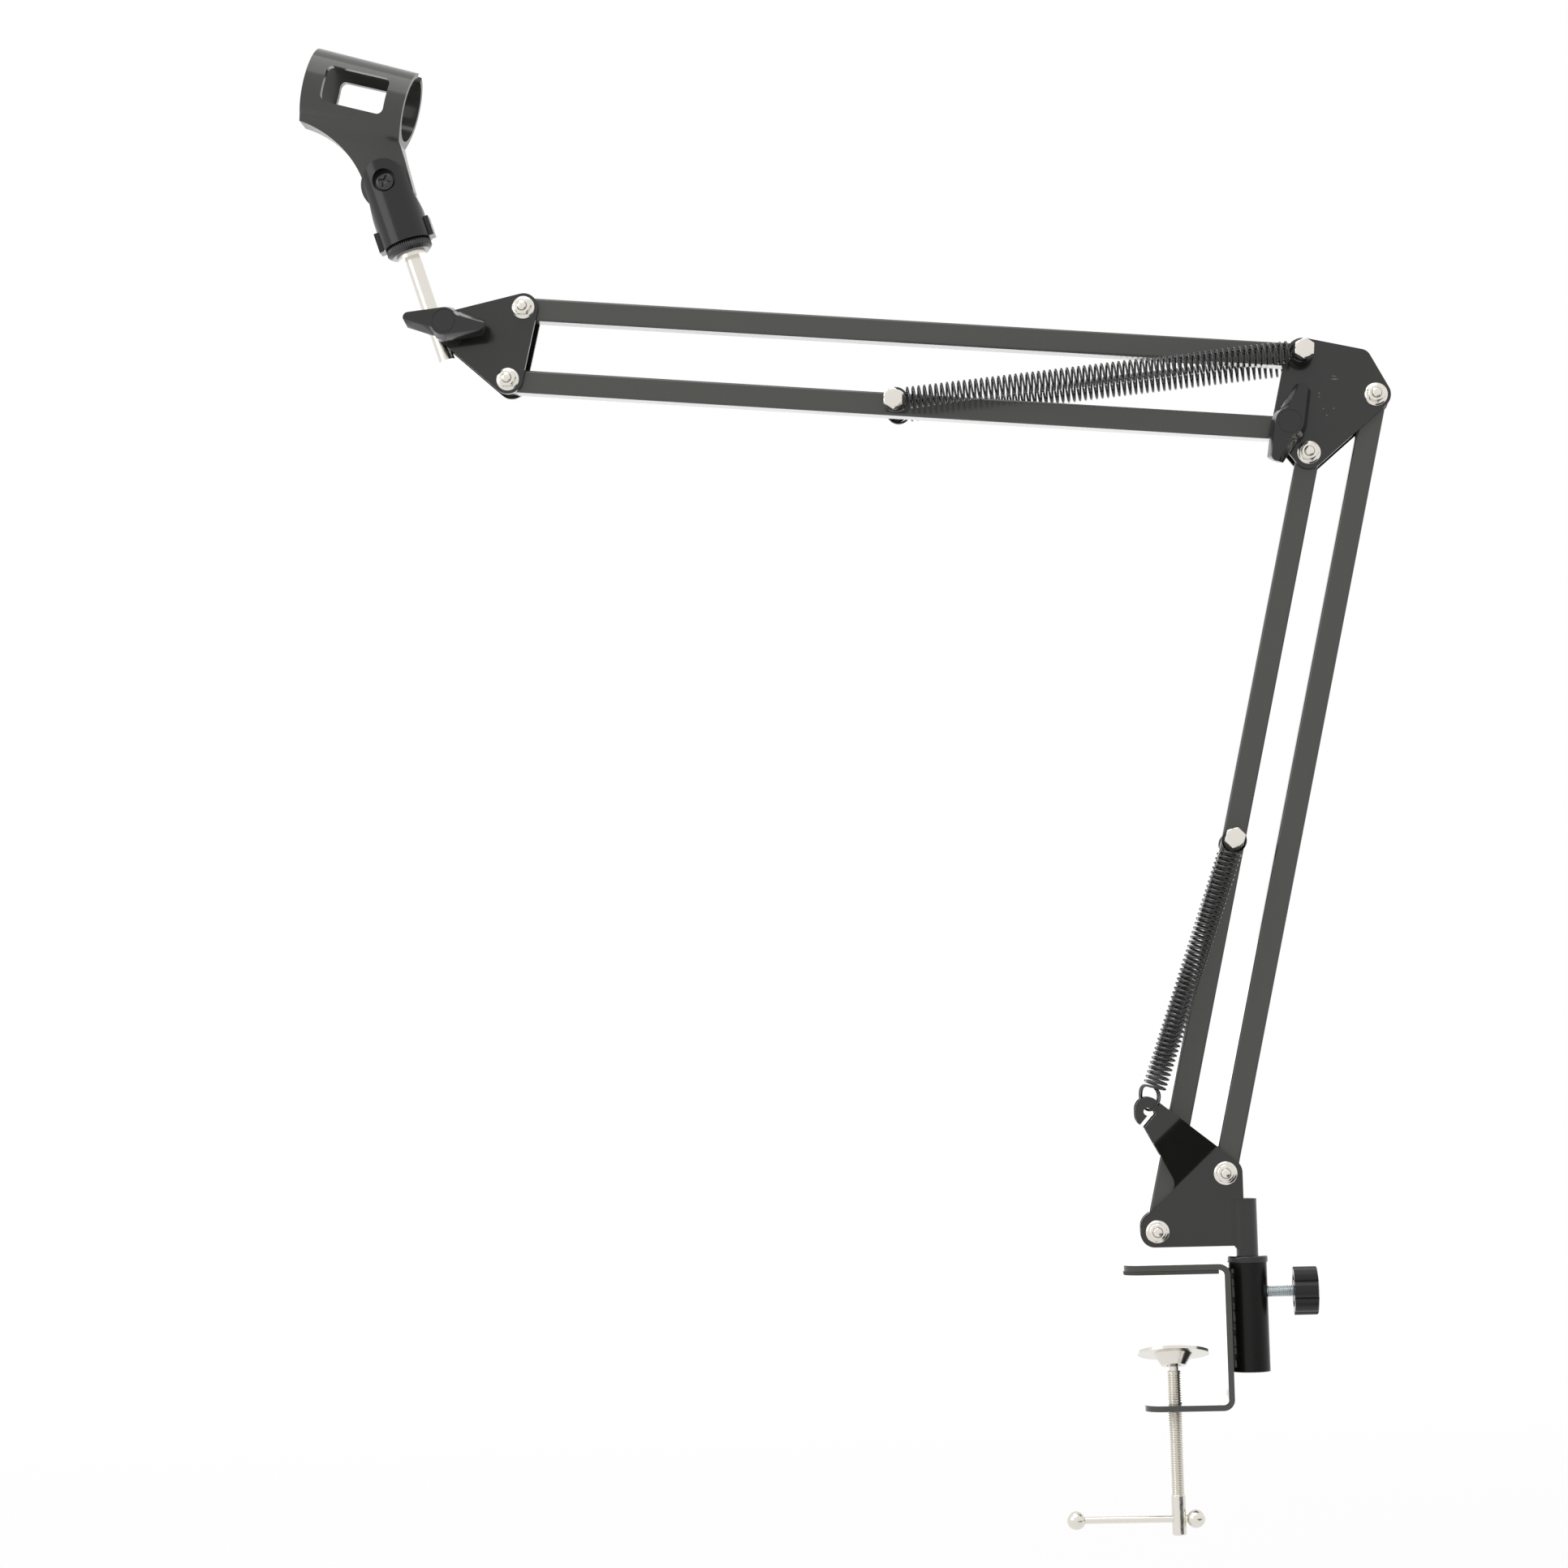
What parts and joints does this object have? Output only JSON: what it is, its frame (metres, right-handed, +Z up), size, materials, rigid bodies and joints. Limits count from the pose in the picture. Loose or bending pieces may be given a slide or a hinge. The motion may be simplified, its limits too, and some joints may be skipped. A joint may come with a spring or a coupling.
{
  "type": "microphone boom arm",
  "caption": "Spring-balanced desk boom arm of paired square bars, with a screw clamp, a swivel post and a tilting microphone clip.",
  "frame": {"origin": "middle of the underside of the pad under the clamp's top jaw, on the desk's surface", "axes": "+X along the arm away from the clip, +Y to the back, +Z up"},
  "size_m": [0.4735, 0.0435, 0.6584],
  "materials": {
    "powder_coat": "satin powder coat",
    "black_plastic": "moulded",
    "pad_rubber": "matt",
    "nickel": "bright nickel plate",
    "zinc": "zinc plate",
    "black_hardware": "black oxide",
    "nylon": "plain",
    "spring_wire": "black wire"
  },
  "bodies": {
    "clamp": {"clamp_bracket": "powder_coat", "jaw_pad": "pad_rubber", "socket_tube": "powder_coat", "socket_bush": "black_plastic"},
    "thumb": {"thumb_screw": "zinc", "thumb_knob": "black_plastic"},
    "ball": {"screw_ball_end": "nickel"},
    "pad": {"swivel_pad": "nickel"},
    "screw": {"clamp_screw": "nickel"},
    "tommy": {"tommy_bar": "nickel", "tommy_balls": "nickel"},
    "base": {"base_bracket": "powder_coat", "base_bolts": "nickel", "base_nuts": "nickel", "base_washers": "nylon", "lower_spring_front": "spring_wire", "lower_spring_rear": "spring_wire"},
    "lower_inner": {"lower_inner_bar": "powder_coat", "lower_spring_bolt": "nickel", "lower_spring_nut": "nickel", "lower_spring_spools": "black_hardware"},
    "lower_outer": {"lower_outer_bar": "powder_coat"},
    "elbow": {"elbow_front_plate": "powder_coat", "elbow_rear_plate": "powder_coat", "elbow_bolts": "nickel", "elbow_nuts": "nickel", "elbow_washers": "nylon", "elbow_spring_bolt": "nickel", "elbow_spring_nut": "nickel", "elbow_spring_spools": "black_hardware", "elbow_wing_bolt": "nickel", "upper_spring_front": "spring_wire", "upper_spring_rear": "spring_wire"},
    "elbow_wing": {"elbow_wing_knob": "black_plastic"},
    "upper_bottom": {"upper_bottom_bar": "powder_coat", "upper_spring_bolt": "nickel", "upper_spring_nut": "nickel", "upper_spring_spools": "black_hardware"},
    "upper_top": {"upper_top_bar": "powder_coat"},
    "head": {"head_front_plate": "powder_coat", "head_rear_plate": "powder_coat", "head_bolts": "nickel", "head_nuts": "nickel", "head_washers": "nylon", "head_wing_bolt": "nickel"},
    "head_wing": {"head_wing_knob": "black_plastic"},
    "rod": {"rod_saddle": "powder_coat", "mic_rod": "nickel"},
    "clip_foot": {"threaded_insert": "black_hardware", "clip_knuckle": "black_plastic", "clip_screw": "black_hardware", "clip_nut": "black_hardware"},
    "clip": {"clip_sleeve": "black_plastic"}
  },
  "joints": [
    {"name": "pad_travel", "type": "slide", "parent": "clamp", "child": "ball", "axis": [0, 0, 1], "range_m": [-0.01401, 0.02901]},
    {"name": "screw_turn", "type": "hinge", "parent": "ball", "child": "screw", "pos_m": [0, 0, -0.0367], "axis": [0, 0, 1], "range_deg": [-5040, 10440]},
    {"name": "pad_tilt", "type": "hinge", "parent": "ball", "child": "pad", "pos_m": [0, 0, -0.0367], "axis": [1, 0, 0], "range_deg": [0, 28]},
    {"name": "tommy_slide", "type": "slide", "parent": "screw", "child": "tommy", "axis": [1, 0, 0], "range_m": [0, 0.0357]},
    {"name": "thumb_turn", "type": "hinge", "parent": "clamp", "child": "thumb", "pos_m": [0.0517, 0, -0.0085], "axis": [1, 0, 0], "continuous": true},
    {"name": "post_swivel", "type": "hinge", "parent": "clamp", "child": "base", "pos_m": [0.0328, 0, 0], "axis": [0, 0, 1], "continuous": true},
    {"name": "lower_arm_tilt", "type": "hinge", "parent": "base", "child": "lower_inner", "pos_m": [-0.005, 0, 0.0178], "axis": [0, 1, 0], "range_deg": [-60, 15], "deforming": ["lower_spring_front", "lower_spring_rear"]},
    {"name": "lower_outer_tilt", "type": "hinge", "parent": "base", "child": "lower_outer", "pos_m": [0.02448, 0, 0.04193], "axis": [0, 1, 0], "range_deg": [-60.1, 15.1]},
    {"name": "elbow_level", "type": "hinge", "parent": "lower_inner", "child": "elbow", "pos_m": [0.07137, 0, 0.34911], "axis": [0, 1, 0], "range_deg": [-15.1, 60.1]},
    {"name": "upper_arm_tilt", "type": "hinge", "parent": "elbow", "child": "upper_bottom", "pos_m": [0.06279, 0, 0.36049], "axis": [0, 1, 0], "range_deg": [-50, 60], "deforming": ["upper_spring_front", "upper_spring_rear"]},
    {"name": "upper_top_tilt", "type": "hinge", "parent": "elbow", "child": "upper_top", "pos_m": [0.07027, 0, 0.39212], "axis": [0, 1, 0], "range_deg": [-50.1, 60.1]},
    {"name": "head_level", "type": "hinge", "parent": "upper_bottom", "child": "head", "pos_m": [-0.27541, 0, 0.39544], "axis": [0, 1, 0], "range_deg": [-60.1, 50.1]},
    {"name": "elbow_wing_turn", "type": "hinge", "parent": "elbow", "child": "elbow_wing", "pos_m": [0.06279, 0, 0.36049], "axis": [0, 1, 0], "continuous": true},
    {"name": "head_wing_turn", "type": "hinge", "parent": "head", "child": "head_wing", "pos_m": [-0.30101, 0, 0.41964], "axis": [0, 1, 0], "continuous": true},
    {"name": "rod_tilt", "type": "hinge", "parent": "head", "child": "rod", "pos_m": [-0.30101, 0, 0.41964], "axis": [0, 1, 0], "range_deg": [-100, 45]},
    {"name": "clip_spin", "type": "hinge", "parent": "rod", "child": "clip_foot", "pos_m": [-0.30683, 0, 0.41782], "axis": [-0.299, 0, 0.9542], "continuous": true},
    {"name": "clip_tilt", "type": "hinge", "parent": "clip_foot", "child": "clip", "pos_m": [-0.32815, 0, 0.48586], "axis": [0, 1, 0], "range_deg": [-50, 40]}
  ],
  "couplings": [
    {"joint": "pad_travel", "follows": "screw_turn", "m_per_rad": 0.00015915},
    {"joint": "lower_outer_tilt", "follows": "lower_arm_tilt", "ratio": 1},
    {"joint": "elbow_level", "follows": "lower_arm_tilt", "ratio": -1},
    {"joint": "upper_top_tilt", "follows": "upper_arm_tilt", "ratio": 1},
    {"joint": "head_level", "follows": "upper_arm_tilt", "ratio": -1}
  ]
}
